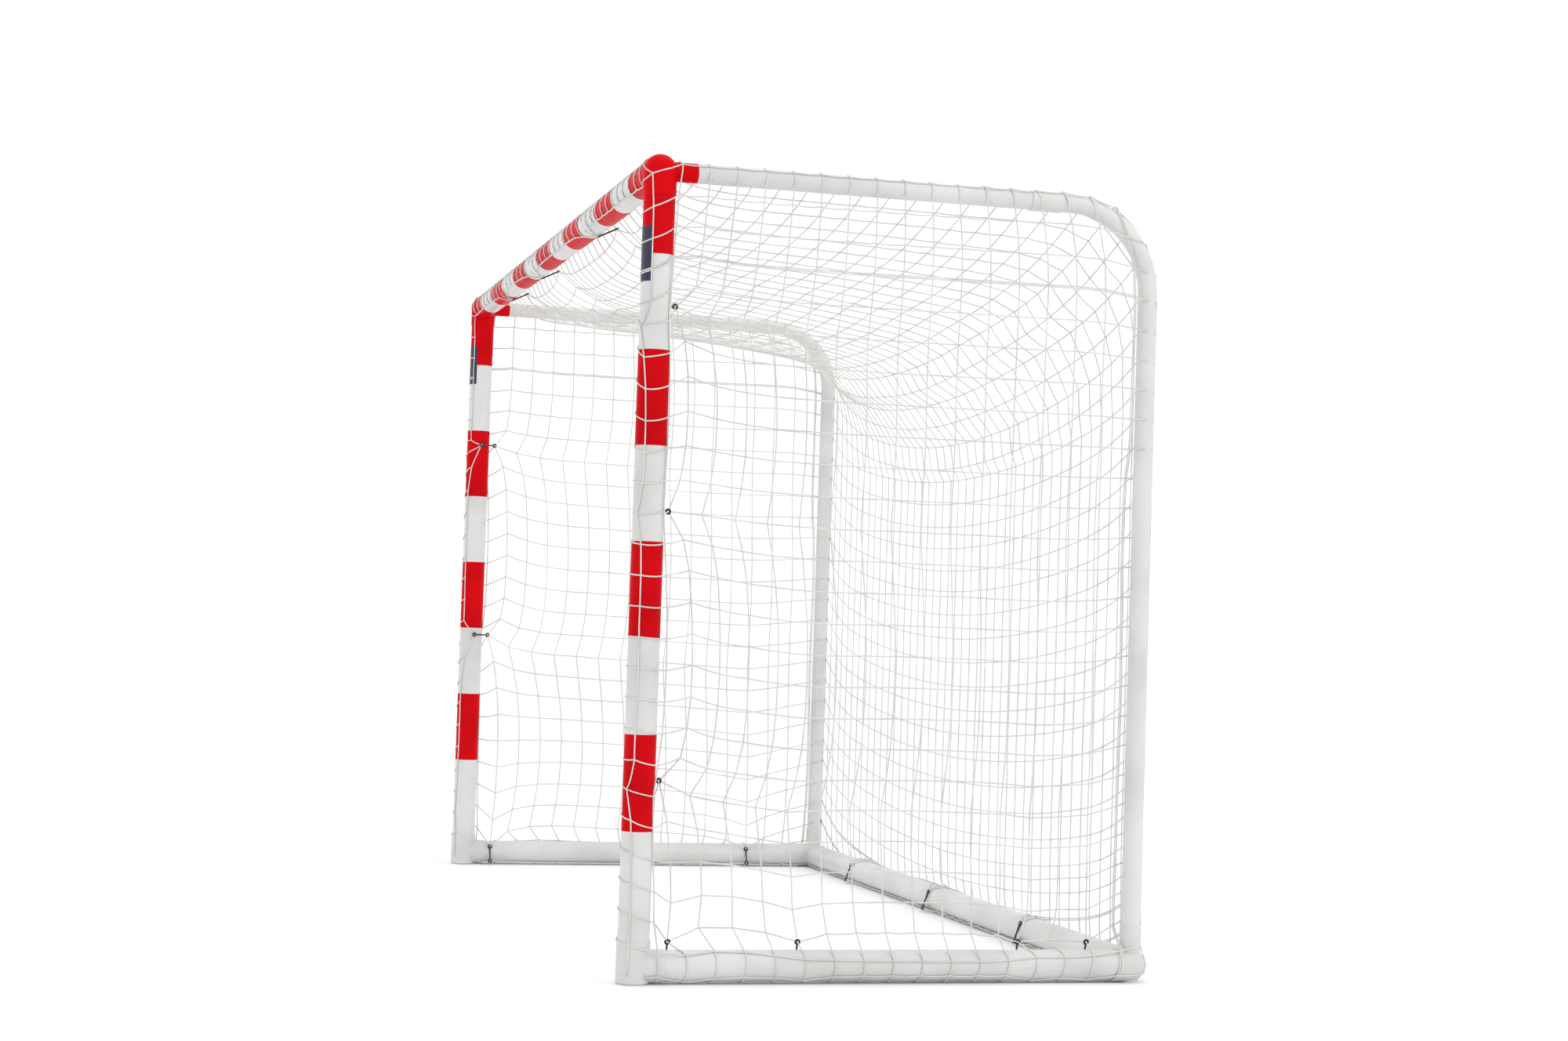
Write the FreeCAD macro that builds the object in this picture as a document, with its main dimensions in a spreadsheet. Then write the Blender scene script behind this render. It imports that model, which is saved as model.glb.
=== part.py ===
import FreeCAD, Part
import os
import Sketcher
from FreeCAD import Placement, Rotation, Vector

# A free-standing goal of round plastic tube with a net, 3 m wide and 2 m high inside.
# X runs across the mouth, +Y runs from the mouth to the back, +Z is up.
# The origin is on the ground, in the middle of the goal's overall box.
# Left and right are as seen from in front, looking in: right is +X.

# ---------------------------------------------------------------- driving sizes, in mm
SIZES = (
    ("mouth_width", 3000.0, "clear width between the posts"),
    ("mouth_height", 2000.0, "ground to the underside of the crossbar"),
    ("goal_depth", 1330.0, "post axis to rear upright axis"),
    ("main_diameter", 80.0, "outside of the posts, crossbar and base tubes"),
    ("main_wall", 3.0, "wall of those tubes"),
    ("rear_diameter", 50.0, "outside of the roof tubes, bends and uprights"),
    ("rear_wall", 2.4, "wall of those tubes"),
    ("fit_gap", 0.15, "gap all round between a spigot or socket and its tube"),
    ("fitting_step", 2.5, "how far the corner fittings stand out past a thick tube"),
    ("spigot_length", 80.0, "how far a fitting's spigot reaches into a thick tube"),
    ("spigot_wall", 3.0, "wall of the spigots in thick tubes"),
    ("edge_chamfer", 1.5, "broken edge at a fitting's shoulder"),
    ("corner_shoulder", 66.0, "fitting axis to the shoulder that a thick tube meets"),
    ("foot_shoulder", 77.0, "front foot axis to its base tube"),
    ("foot_sole", 1.5, "how far the soles stand below the fittings' round arms"),
    ("foot_floor", 6.0, "thickness of the front foot's flat bottom"),
    ("foot_edge", 5.0, "broken edge round the front foot's bottom"),
    ("foot_arm_step", 1.0, "how much slimmer the front foot's rear arm is than its column"),
    ("rear_sole_radius", 22.0, "radius of the flat sole under the rear foot"),
    ("stub_length", 95.0, "post axis to the end of the thin stub on the top corner"),
    ("rear_spigot_length", 60.0, "how far the stub's spigot reaches into the roof tube"),
    ("foot_lip", 3.0, "rear foot's arm across the back to the end of the side base tube"),
    ("collar_seat", 5.0, "top of the base tubes to the upright's lower end"),
    ("collar_depth", 60.0, "how deep the upright sits in the collar"),
    ("bend_radius", 225.0, "centreline radius of the rear bend"),
    ("bend_neck", 31.0, "straight neck between the bend and its bell"),
    ("bell_length", 81.0, "length of the belled socket"),
    ("bell_taper", 8.0, "length of the cone where the bell widens"),
    ("bend_leg", 413.0, "straight leg below the bend"),
    ("coupler_length", 120.0, "sleeve inside the seam of bend and upright"),
    ("film_thickness", 0.3, "red film sleeves and labels"),
    ("film_gap", 0.05, "gap under the film"),
    ("band_length", 241.0, "one red or white band"),
    ("corner_red", 214.5, "crossbar axis to the first white band of a post"),
    ("label_height", 140.0, "height of the label"),
    ("label_angle", 118.0, "how far the label wraps round the post, in degrees"),
    ("label_drop", 214.0, "crossbar axis to the label's middle"),
    ("net_gap", 0.5, "gap between the net's panels and the fittings"),
    ("net_thickness", 3.0, "thickness of the net's panels"),
    ("net_floor_gap", 6.0, "ground to the net panels' lower edge"),
    ("hook_rod", 5.0, "rod diameter of a net hook"),
    ("hook_eye_swell", 0.2, "how much thicker the wire of a hook's eye is, in radius"),
    ("hook_ring", 11.0, "centreline diameter of the eye at each end of a hook"),
    ("hook_gap", 1.0, "gap between a hook and the film on its tube"),
    ("hook_length", 42.0, "straight rod between a hook's two eyes"),
    ("hook_tail", 3.0, "how much of that rod lies before the point nearest the tube"),
    ("hook_drop", 36.0, "how much lower the hooks sit on the back and left base tubes"),
)

doc = FreeCAD.newDocument("Goal")
sheet = doc.addObject("Spreadsheet::Sheet", "Sizes")
for row, (alias, value, meaning) in enumerate(SIZES, start=1):
    sheet.set("A%d" % row, meaning)
    sheet.set("B%d" % row, "%g" % value)
    sheet.setAlias("B%d" % row, alias)
doc.recompute()


def size(alias):
    """A driving size, read back from the sheet."""
    return float(sheet.get(alias))


# ---------------------------------------------------------------- places, as expressions
MAIN_R = "(Sizes.main_diameter / 2)"
MAIN_BORE_R = "(Sizes.main_diameter / 2 - Sizes.main_wall)"
REAR_R = "(Sizes.rear_diameter / 2)"
REAR_BORE_R = "(Sizes.rear_diameter / 2 - Sizes.rear_wall)"
FITTING_R = "(%s + Sizes.fitting_step)" % MAIN_R
SPIGOT_R = "(%s - Sizes.fit_gap)" % MAIN_BORE_R
SPIGOT_BORE_R = "(%s - Sizes.spigot_wall)" % SPIGOT_R
REAR_SPIGOT_R = "(%s - Sizes.fit_gap)" % REAR_BORE_R
REAR_SPIGOT_BORE_R = "(%s - Sizes.rear_wall)" % REAR_SPIGOT_R
SOCKET_BORE_R = "(%s + Sizes.fit_gap)" % REAR_R
SOCKET_R = "(%s + Sizes.rear_wall)" % SOCKET_BORE_R
NET_INNER = "(%s + Sizes.net_gap)" % FITTING_R
NET_OUTER = "(%s + Sizes.net_thickness)" % NET_INNER

POST_X = "((Sizes.mouth_width + Sizes.main_diameter) / 2)"
BASE_Z = "(%s + Sizes.foot_sole)" % FITTING_R
CROSSBAR_Z = "(Sizes.mouth_height + %s)" % MAIN_R
# The overall box runs from the front of the fittings to the back of the net.
FRONT_Y = "((%s - %s - Sizes.goal_depth) / 2)" % (FITTING_R, NET_OUTER)
REAR_Y = "(%s + Sizes.goal_depth)" % FRONT_Y
BEND_Y = "(%s - Sizes.bend_radius)" % REAR_Y
BEND_Z = "(%s - Sizes.bend_radius)" % CROSSBAR_Z
BELL_BACK_Y = "(%s - Sizes.bend_neck)" % BEND_Y
SEAM_Z = "(%s - Sizes.bend_leg)" % BEND_Z
REAR_SHOULDER = "(%s + Sizes.foot_lip)" % FITTING_R
COLLAR_HEIGHT = "(%s + Sizes.collar_seat + Sizes.collar_depth)" % MAIN_R
COLLAR_SEAT_Z = "(%s + %s + Sizes.collar_seat)" % (BASE_Z, MAIN_R)

SIDES = (("left", -1), ("right", 1))
DIRECTIONS = {
    "+X": Rotation(Vector(0, 1, 0), 90),
    "-X": Rotation(Vector(0, 1, 0), -90),
    "+Y": Rotation(Vector(1, 0, 0), -90),
    "-Y": Rotation(Vector(1, 0, 0), 90),
    "+Z": Rotation(),
    "-Z": Rotation(Vector(1, 0, 0), 180),
}
# Turns X to Y, Y to Z and Z to X, so a torus lies in the plane of a rear bend.
BEND_TURN = Rotation(Vector(1, 1, 1), 120)


def side_x(sign):
    """The post's X on the side that sign gives."""
    return "(%d * %s)" % (sign, POST_X)


def inward(sign):
    """The direction from a post towards the middle of the goal."""
    return "-X" if sign > 0 else "+X"


def bind(thing, expressions):
    for name, expression in expressions.items():
        thing.setExpression(name, expression)
    return thing


def put(thing, at, rotation=Rotation()):
    """Places an object at three expressions."""
    thing.Placement = Placement(Vector(0, 0, 0), rotation)
    x, y, z = at
    return bind(thing, {
        "Placement.Base.x": x,
        "Placement.Base.y": y,
        "Placement.Base.z": z,
    })


# ---------------------------------------------------------------- building blocks
def rod(name, radius, length, at, direction):
    """A solid cylinder that starts at a point and runs in a direction."""
    cylinder = doc.addObject("Part::Cylinder", name)
    bind(cylinder, {"Radius": radius, "Height": length})
    return put(cylinder, at, DIRECTIONS[direction])


def taper(name, start_radius, end_radius, length, at, direction):
    cone = doc.addObject("Part::Cone", name)
    bind(cone, {"Radius1": start_radius, "Radius2": end_radius, "Height": length})
    return put(cone, at, DIRECTIONS[direction])


def ball(name, radius, at):
    sphere = doc.addObject("Part::Sphere", name)
    bind(sphere, {"Radius": radius})
    return put(sphere, at)


def box(name, length, width, height, at):
    block = doc.addObject("Part::Box", name)
    bind(block, {"Length": length, "Width": width, "Height": height})
    return put(block, at)


def fuse(name, shapes):
    joined = doc.addObject("Part::MultiFuse", name)
    joined.Shapes = shapes
    joined.Refine = True
    return joined


def cut(name, base, tool):
    left_over = doc.addObject("Part::Cut", name)
    left_over.Base = base
    left_over.Tool = tool
    return left_over


def step_along(at, direction, distance):
    """The point at a distance from another, in a direction."""
    place = list(at)
    axis = "XYZ".index(direction[1])
    place[axis] = "(%s %s %s)" % (place[axis], direction[0], distance)
    return tuple(place)


def arm(name, radius, length, at, direction):
    """A fitting's arm: a cylinder with a broken edge at its far end."""
    barrel = rod(name + "_barrel", radius, "(%s - Sizes.edge_chamfer)" % length, at, direction)
    edge_start = step_along(at, direction, "(%s - Sizes.edge_chamfer)" % length)
    narrow = "(%s - Sizes.edge_chamfer)" % radius
    edge = taper(name + "_edge", radius, narrow, "Sizes.edge_chamfer", edge_start, direction)
    return [barrel, edge]


def tube(label, outer_r, bore_r, length, at, direction):
    """A straight tube: a ring sketched on the XY plane and padded to its length."""
    body = doc.addObject("PartDesign::Body", label)
    ring = body.newObject("Sketcher::SketchObject", label + "_ring")
    plane = next(f for f in body.Origin.OriginFeatures if f.Role == "XY_Plane")
    ring.AttachmentSupport = [(plane, "")]
    ring.MapMode = "FlatFace"
    for index, (name, radius) in enumerate((("outer", outer_r), ("bore", bore_r))):
        ring.addGeometry(Part.Circle(Vector(0, 0, 0), Vector(0, 0, 1), 30 - 10 * index), False)
        ring.addConstraint(Sketcher.Constraint("Coincident", index, 3, -1, 1))
        constraint = ring.addConstraint(Sketcher.Constraint("Radius", index, 30.0 - 10 * index))
        ring.renameConstraint(constraint, name)
        ring.setExpression("Constraints." + name, radius)
    pad = body.newObject("PartDesign::Pad", label + "_length")
    pad.Profile = ring
    pad.setExpression("Length", length)
    return put(body, at, DIRECTIONS[direction])


# ---------------------------------------------------------------- frame tubes
def post(label, sign):
    start = (side_x(sign), FRONT_Y, "(%s + Sizes.corner_shoulder)" % BASE_Z)
    length = "(%s - %s - 2 * Sizes.corner_shoulder)" % (CROSSBAR_Z, BASE_Z)
    return tube(label, MAIN_R, MAIN_BORE_R, length, start, "+Z")


def cross_tube(label, y, z):
    """A thick tube across the goal, between two corner fittings."""
    start = ("(Sizes.corner_shoulder - %s)" % POST_X, y, z)
    length = "(2 * (%s - Sizes.corner_shoulder))" % POST_X
    return tube(label, MAIN_R, MAIN_BORE_R, length, start, "+X")


def side_base_tube(label, sign):
    start = (side_x(sign), "(%s + Sizes.foot_shoulder)" % FRONT_Y, BASE_Z)
    length = "(Sizes.goal_depth - Sizes.foot_shoulder - %s)" % REAR_SHOULDER
    return tube(label, MAIN_R, MAIN_BORE_R, length, start, "+Y")


def roof_tube(label, sign):
    """The thin tube from the top corner's stub to the bottom of the bend's bell."""
    start_y = "(%s + Sizes.stub_length)" % FRONT_Y
    length = "(%s - %s)" % (BELL_BACK_Y, start_y)
    return tube(label, REAR_R, REAR_BORE_R, length, (side_x(sign), start_y, CROSSBAR_Z), "+Y")


def rear_upright(label, sign):
    length = "(%s - %s)" % (SEAM_Z, COLLAR_SEAT_Z)
    return tube(label, REAR_R, REAR_BORE_R, length, (side_x(sign), REAR_Y, COLLAR_SEAT_Z), "+Z")


def upright_coupler(label, sign):
    """The sleeve inside the flush seam between the bend's leg and the upright."""
    start_z = "(%s - Sizes.coupler_length / 2)" % SEAM_Z
    start = (side_x(sign), REAR_Y, start_z)
    return tube(label, REAR_SPIGOT_R, REAR_SPIGOT_BORE_R, "Sizes.coupler_length", start, "+Z")


def rear_bend(label, sign):
    """A quarter turn of thin tube with a straight leg and a belled socket."""
    x = side_x(sign)
    skins = []
    for skin, radius, bell_radius in (
        ("outside", REAR_R, SOCKET_R),
        ("bore", REAR_BORE_R, SOCKET_BORE_R),
    ):
        name = "%s_%s" % (label, skin)
        turn = doc.addObject("Part::Torus", name + "_turn")
        turn.Angle3 = 90
        bind(turn, {"Radius1": "Sizes.bend_radius", "Radius2": radius})
        put(turn, (x, BEND_Y, BEND_Z), BEND_TURN)
        leg = rod(name + "_leg", radius, "Sizes.bend_leg", (x, REAR_Y, BEND_Z), "-Z")
        neck = rod(name + "_neck", radius, "Sizes.bend_neck", (x, BEND_Y, CROSSBAR_Z), "-Y")
        bell_start = (x, BELL_BACK_Y, CROSSBAR_Z)
        bell = rod(name + "_bell", bell_radius, "Sizes.bell_length", bell_start, "-Y")
        pieces = [turn, leg, neck, bell]
        if skin == "outside":
            pieces.append(taper(name + "_flare", bell_radius, radius, "Sizes.bell_taper",
                                bell_start, "+Y"))
        skins.append(fuse(name, pieces))
    return cut(label, *skins)


# ---------------------------------------------------------------- corner fittings
def thick_arm(label, radius, shoulder, at, direction):
    """An arm with a shoulder and the spigot that goes on into a thick tube."""
    reach = "(%s + Sizes.spigot_length)" % shoulder
    solids = arm(label + "_arm", radius, shoulder, at, direction)
    solids += arm(label + "_spigot", SPIGOT_R, reach, at, direction)
    hollow = rod(label + "_hollow", SPIGOT_BORE_R, reach, at, direction)
    return solids, hollow


def top_corner(label, sign):
    """A domed three-way fitting: post below, crossbar inward, thin stub to the rear."""
    centre = (side_x(sign), FRONT_Y, CROSSBAR_Z)
    down, down_hollow = thick_arm(
        label + "_down", FITTING_R, "Sizes.corner_shoulder", centre, "-Z")
    across, across_hollow = thick_arm(
        label + "_across", FITTING_R, "Sizes.corner_shoulder", centre, inward(sign))
    stub_reach = "(Sizes.stub_length + Sizes.rear_spigot_length)"
    stub = [
        rod(label + "_stub", REAR_R, "Sizes.stub_length", centre, "+Y"),
        rod(label + "_stub_spigot", REAR_SPIGOT_R, stub_reach, centre, "+Y"),
    ]
    dome = ball(label + "_dome", FITTING_R, centre)
    stub_hollow = rod(label + "_stub_hollow", REAR_SPIGOT_BORE_R, stub_reach, centre, "+Y")
    core = ball(label + "_core", SPIGOT_BORE_R, centre)
    outside = fuse(label + "_outside", [dome] + down + across + stub)
    inside = fuse(label + "_inside", [core, down_hollow, across_hollow, stub_hollow])
    return cut(label, outside, inside)


def front_foot(label, sign):
    """An elbow that stands on a flat bottom: post above, base tube to the rear."""
    x = side_x(sign)
    centre = (x, FRONT_Y, BASE_Z)
    above_edge = (x, FRONT_Y, "Sizes.foot_edge")
    above_floor = (x, FRONT_Y, "Sizes.foot_floor")
    column_height = "(%s + Sizes.corner_shoulder - Sizes.foot_edge)" % BASE_Z
    spigot_top = "(%s + Sizes.corner_shoulder + Sizes.spigot_length)" % BASE_Z
    narrow = "(%s - Sizes.foot_edge)" % FITTING_R
    bottom = taper(label + "_bottom", narrow, FITTING_R, "Sizes.foot_edge", (x, FRONT_Y, "0"), "+Z")
    column = arm(label + "_column", FITTING_R, column_height, above_edge, "+Z")
    spigot_length = "(%s - Sizes.foot_floor)" % spigot_top
    spigot = arm(label + "_spigot", SPIGOT_R, spigot_length, above_floor, "+Z")
    well = rod(label + "_well", SPIGOT_BORE_R, spigot_length, above_floor, "+Z")
    back_r = "(%s - Sizes.foot_arm_step)" % FITTING_R
    back, back_hollow = thick_arm(label + "_back", back_r, "Sizes.foot_shoulder", centre, "+Y")
    outside = fuse(label + "_outside", [bottom] + column + spigot + back)
    inside = fuse(label + "_inside", [well, back_hollow])
    return cut(label, outside, inside)


def rear_foot(label, sign):
    """A three-way fitting with a rounded end and a collar for the thin upright."""
    centre = (side_x(sign), REAR_Y, BASE_Z)
    front, front_hollow = thick_arm(label + "_front", FITTING_R, REAR_SHOULDER, centre, "-Y")
    across, across_hollow = thick_arm(
        label + "_across", FITTING_R, "Sizes.corner_shoulder", centre, inward(sign))
    collar = arm(label + "_collar", SOCKET_R, COLLAR_HEIGHT, centre, "+Z")
    end = ball(label + "_end", FITTING_R, centre)
    ground = (side_x(sign), REAR_Y, "0")
    sole = rod(label + "_sole", "Sizes.rear_sole_radius", BASE_Z, ground, "+Z")
    core = ball(label + "_core", SPIGOT_BORE_R, centre)
    seat = (side_x(sign), REAR_Y, COLLAR_SEAT_Z)
    socket = rod(label + "_socket", SOCKET_BORE_R, "Sizes.collar_depth", seat, "+Z")
    throat = rod(label + "_throat", REAR_SPIGOT_BORE_R, COLLAR_HEIGHT, centre, "+Z")
    outside = fuse(label + "_outside", [end, sole] + front + across + collar)
    inside = fuse(label + "_inside", [core, front_hollow, across_hollow, socket, throat])
    return cut(label, outside, inside)


# ---------------------------------------------------------------- film bands and labels
FILM_BORE_R = "(%s + Sizes.film_gap)" % MAIN_R
FILM_R = "(%s + Sizes.film_thickness)" % FILM_BORE_R


def film_sleeve(name, start, end, direction):
    """A thin sleeve of film between two points on a tube's axis."""
    axis = "XYZ".index(direction[1])
    length = "(%s - %s)" % (end[axis], start[axis])
    outside = rod(name + "_outside", FILM_R, length, start, direction)
    bore = rod(name + "_bore", FILM_BORE_R, length, start, direction)
    return cut(name, outside, bore)


def group(label, pieces):
    """One node that holds several separate solids."""
    compound = doc.addObject("Part::Compound", label)
    compound.Links = pieces
    return compound


def post_bands(label, sign):
    """Red film below the top corner, then red bands with white ones between them."""
    x = side_x(sign)
    first_white = "(%s - Sizes.corner_red)" % CROSSBAR_Z
    shoulder = "(%s - Sizes.corner_shoulder)" % CROSSBAR_Z
    sleeves = [film_sleeve(label + "_top", (x, FRONT_Y, first_white), (x, FRONT_Y, shoulder), "+Z")]
    top = size("mouth_height") + size("main_diameter") / 2 - size("corner_red")
    bottom = size("foot_sole") + size("main_diameter") / 2 + size("fitting_step")
    bottom += size("corner_shoulder")
    pairs = int((top - bottom) / (2 * size("band_length")))
    for pair in range(pairs):
        upper = "(%s - %d * Sizes.band_length)" % (first_white, 2 * pair + 1)
        lower = "(%s - %d * Sizes.band_length)" % (first_white, 2 * pair + 2)
        sleeves.append(
            film_sleeve("%s_%d" % (label, pair + 1), (x, FRONT_Y, lower), (x, FRONT_Y, upper), "+Z"))
    return group(label, sleeves)


def crossbar_bands(label):
    """Red bands set out from the middle, and red film that runs up to each corner."""
    half_span = (size("mouth_width") + size("main_diameter")) / 2 - size("corner_shoulder")
    outermost = int((half_span / size("band_length") - 1.5) / 2)
    sleeves = []
    for place in range(-outermost, outermost + 1):
        start = "(%g * Sizes.band_length)" % (2 * place - 0.5)
        end = "(%g * Sizes.band_length)" % (2 * place + 0.5)
        sleeves.append(film_sleeve("%s_middle_%d" % (label, place + outermost),
                                   (start, FRONT_Y, CROSSBAR_Z), (end, FRONT_Y, CROSSBAR_Z), "+X"))
    last_white = "(%g * Sizes.band_length)" % (2 * outermost + 1.5)
    shoulder = "(%s - Sizes.corner_shoulder)" % POST_X
    for side, start, end in (
        ("left", "(-%s)" % shoulder, "(-%s)" % last_white),
        ("right", last_white, shoulder),
    ):
        sleeves.append(film_sleeve("%s_%s" % (label, side),
                                   (start, FRONT_Y, CROSSBAR_Z), (end, FRONT_Y, CROSSBAR_Z), "+X"))
    return group(label, sleeves)


def post_label(label, sign):
    """A plain label on the front of a post, over the film."""
    bore_r = "(%s + Sizes.film_gap)" % FILM_R
    outer_r = "(%s + Sizes.film_thickness)" % bore_r
    bottom = "(%s - Sizes.label_drop - Sizes.label_height / 2)" % CROSSBAR_Z
    start = (side_x(sign), FRONT_Y, bottom)
    outside = rod(label + "_outside", outer_r, "Sizes.label_height", start, "+Z")
    outside.setExpression("Angle", "Sizes.label_angle")
    outside.Placement.Rotation = Rotation(Vector(0, 0, 1), -90 - size("label_angle") / 2)
    bore = rod(label + "_bore", bore_r, "Sizes.label_height", start, "+Z")
    return cut(label, outside, bore)


# ---------------------------------------------------------------- net panels
def side_net(label, sign):
    """The net's side: a thin panel with a rounded corner at the top of the back."""
    inner_x = "(%s + %s)" % (POST_X, NET_INNER)
    x = inner_x if sign > 0 else "(-%s - Sizes.net_thickness)" % inner_x
    top = "(%s + %s)" % (CROSSBAR_Z, NET_OUTER)
    back = "(%s + %s)" % (REAR_Y, NET_OUTER)
    front = "(%s - %s)" % (FRONT_Y, MAIN_R)
    low = "Sizes.net_floor_gap"
    tall = box(label + "_tall", "Sizes.net_thickness", "(%s - %s)" % (BEND_Y, front),
               "(%s - %s)" % (top, low), (x, front, low))
    deep = box(label + "_deep", "Sizes.net_thickness", "(%s - %s)" % (back, BEND_Y),
               "(%s - %s)" % (BEND_Z, low), (x, BEND_Y, low))
    corner = doc.addObject("Part::Cylinder", label + "_corner")
    corner.Angle = 90
    bind(corner, {
        "Radius": "(Sizes.bend_radius + %s)" % NET_OUTER,
        "Height": "Sizes.net_thickness",
    })
    put(corner, (x, BEND_Y, BEND_Z), BEND_TURN)
    return fuse(label, [tall, deep, corner])


def roof_and_back_net(label):
    """The net's middle: over the crossbar, along the roof, round the bend and down."""
    x = "(-%s - %s)" % (POST_X, NET_INNER)
    width = "(2 * (%s + %s))" % (POST_X, NET_INNER)
    front = "(%s - %s)" % (FRONT_Y, MAIN_R)
    low = "Sizes.net_floor_gap"
    roof = box(label + "_roof", width, "(%s - %s)" % (BEND_Y, front), "Sizes.net_thickness",
               (x, front, "(%s + %s)" % (CROSSBAR_Z, NET_INNER)))
    back = box(label + "_back", width, "Sizes.net_thickness", "(%s - %s)" % (BEND_Z, low),
               (x, "(%s + %s)" % (REAR_Y, NET_INNER), low))
    skins = []
    for skin, offset in (("outside", NET_OUTER), ("inside", NET_INNER)):
        turn = doc.addObject("Part::Cylinder", "%s_turn_%s" % (label, skin))
        turn.Angle = 90
        bind(turn, {"Radius": "(Sizes.bend_radius + %s)" % offset, "Height": width})
        skins.append(put(turn, (x, BEND_Y, BEND_Z), BEND_TURN))
    curve = cut(label + "_curve", *skins)
    return fuse(label, [roof, curve, back])


# ---------------------------------------------------------------- net hooks
# Where the hooks sit, as shares of each tube's bare length. Across the goal the shares
# count from the middle to one shoulder.
POST_HOOKS = {"left": (0.390, 0.763), "right": (0.211, 0.575, 0.854)}
SIDE_HOOKS = {"left": (0.013, 0.812), "right": (0.013, 0.294, 0.787, 0.945)}
CROSSBAR_HOOKS = (-0.610, -0.194, 0.458)
BACK_HOOKS = (-0.614, -0.020, 0.556)


def hook_master():
    """One hook beside a tube on the Z axis: a straight rod along Y with an eye at each end."""
    eye_r = "(Sizes.hook_rod / 2 + Sizes.hook_eye_swell)"
    across = "(%s + Sizes.hook_gap + %s)" % (FILM_R, eye_r)
    near_end = "(-Sizes.hook_tail)"
    far_end = "(Sizes.hook_length - Sizes.hook_tail)"
    shank = rod("hook_shank", "Sizes.hook_rod / 2", "Sizes.hook_length", (across, near_end, "0"), "+Y")
    pieces = [shank]
    for end, centre in (
        ("near", "(%s - Sizes.hook_ring / 2)" % near_end),
        ("far", "(%s + Sizes.hook_ring / 2)" % far_end),
    ):
        eye = doc.addObject("Part::Torus", "hook_eye_" + end)
        bind(eye, {"Radius1": "Sizes.hook_ring / 2", "Radius2": eye_r})
        pieces.append(put(eye, (across, centre, "0"), DIRECTIONS["+X"]))
    return fuse("hook_master", pieces)


def hook_row(label, master, stations, facing, towards, drop=0):
    """Copies of the hook beside one tube: it faces one way and runs towards the panel.
    A drop slides the hooks back along their run, away from the panel."""
    turn = Rotation(Vector(*facing), Vector(*towards), Vector(), "XYZ")
    slide = turn.multVec(Vector(0, -drop, 0))
    copies = []
    for station in stations:
        hook = master.Shape.copy()
        hook.Placement = Placement(Vector(*station) + slide, turn)
        copies.append(hook)
    node = doc.addObject("Part::Feature", label)
    node.Shape = Part.makeCompound(copies)
    return node


def hook_rows():
    """Hooks beside every thick tube, on the side that faces inward."""
    master = hook_master()
    doc.recompute()
    shoulder = size("corner_shoulder")
    main_r = size("main_diameter") / 2
    post_x = size("mouth_width") / 2 + main_r
    fitting_r = main_r + size("fitting_step")
    base_z = size("foot_sole") + fitting_r
    crossbar_z = size("mouth_height") + main_r
    front_y = -(size("net_gap") + size("net_thickness") + size("goal_depth")) / 2
    rear_y = front_y + size("goal_depth")
    post_run = crossbar_z - base_z - 2 * shoulder
    half_run = post_x - shoulder
    side_start = front_y + size("foot_shoulder")
    side_run = rear_y - fitting_r - size("foot_lip") - side_start
    side_drop = {"left": size("hook_drop"), "right": 0}
    rows = []
    for side, sign in SIDES:
        x = sign * post_x
        first_z = base_z + shoulder
        upright = [(x, front_y, first_z + share * post_run) for share in POST_HOOKS[side]]
        along = [(x, side_start + share * side_run, base_z) for share in SIDE_HOOKS[side]]
        rows.append(
            hook_row(side + "_post_net_hooks", master, upright, (-3 * sign, 1, 0), (0, 1, 0)))
        rows.append(
            hook_row(side + "_base_net_hooks", master, along, (-3 * sign, 0, 1), (0, 0, 1),
                     side_drop[side]))
    over = [(share * half_run, front_y, crossbar_z) for share in CROSSBAR_HOOKS]
    rows.append(hook_row("crossbar_net_hooks", master, over, (0, 1, -2), (0, 1, 0)))
    behind = [(share * half_run, rear_y, base_z) for share in BACK_HOOKS]
    rows.append(hook_row("back_base_net_hooks", master, behind, (0, -3, 1), (0, 0, 1),
                         size("hook_drop")))
    return rows


# ---------------------------------------------------------------- the whole goal
def build():
    nodes = [
        cross_tube("crossbar", FRONT_Y, CROSSBAR_Z),
        cross_tube("back_base_tube", REAR_Y, BASE_Z),
        crossbar_bands("crossbar_red_bands"),
        roof_and_back_net("roof_and_back_net"),
    ]
    for side, sign in SIDES:
        nodes += [
            post(side + "_post", sign),
            side_base_tube(side + "_base_tube", sign),
            roof_tube(side + "_roof_tube", sign),
            rear_bend(side + "_rear_bend", sign),
            rear_upright(side + "_rear_upright", sign),
            upright_coupler(side + "_upright_coupler", sign),
            top_corner(side + "_top_corner", sign),
            front_foot(side + "_front_foot", sign),
            rear_foot(side + "_rear_foot", sign),
            post_bands(side + "_post_red_bands", sign),
            post_label(side + "_post_label", sign),
            side_net(side + "_side_net", sign),
        ]
    return nodes + hook_rows()


def check_and_write(nodes):
    """Stops if anything in the document failed, then writes one file for each node."""
    doc.recompute()
    failed = [o.Name for o in doc.Objects if "Invalid" in o.State or "Error" in o.State]
    if failed:
        raise RuntimeError("failed objects: " + ", ".join(failed))
    for node in nodes:
        if node.Shape.isNull() or not node.Shape.isValid() or not node.Shape.Solids:
            raise RuntimeError("bad shape: " + node.Label)
    os.makedirs("parts", exist_ok=True)
    for node in nodes:
        node.Shape.exportStep("parts/%s.step" % node.Label)
        print("%-26s solids %2d  volume %9.1f cm3"
              % (node.Label, len(node.Shape.Solids), node.Shape.Volume / 1000))


check_and_write(build())
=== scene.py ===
import math

import bmesh
import bpy
import numpy as np
from mathutils import Matrix, Vector


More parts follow.
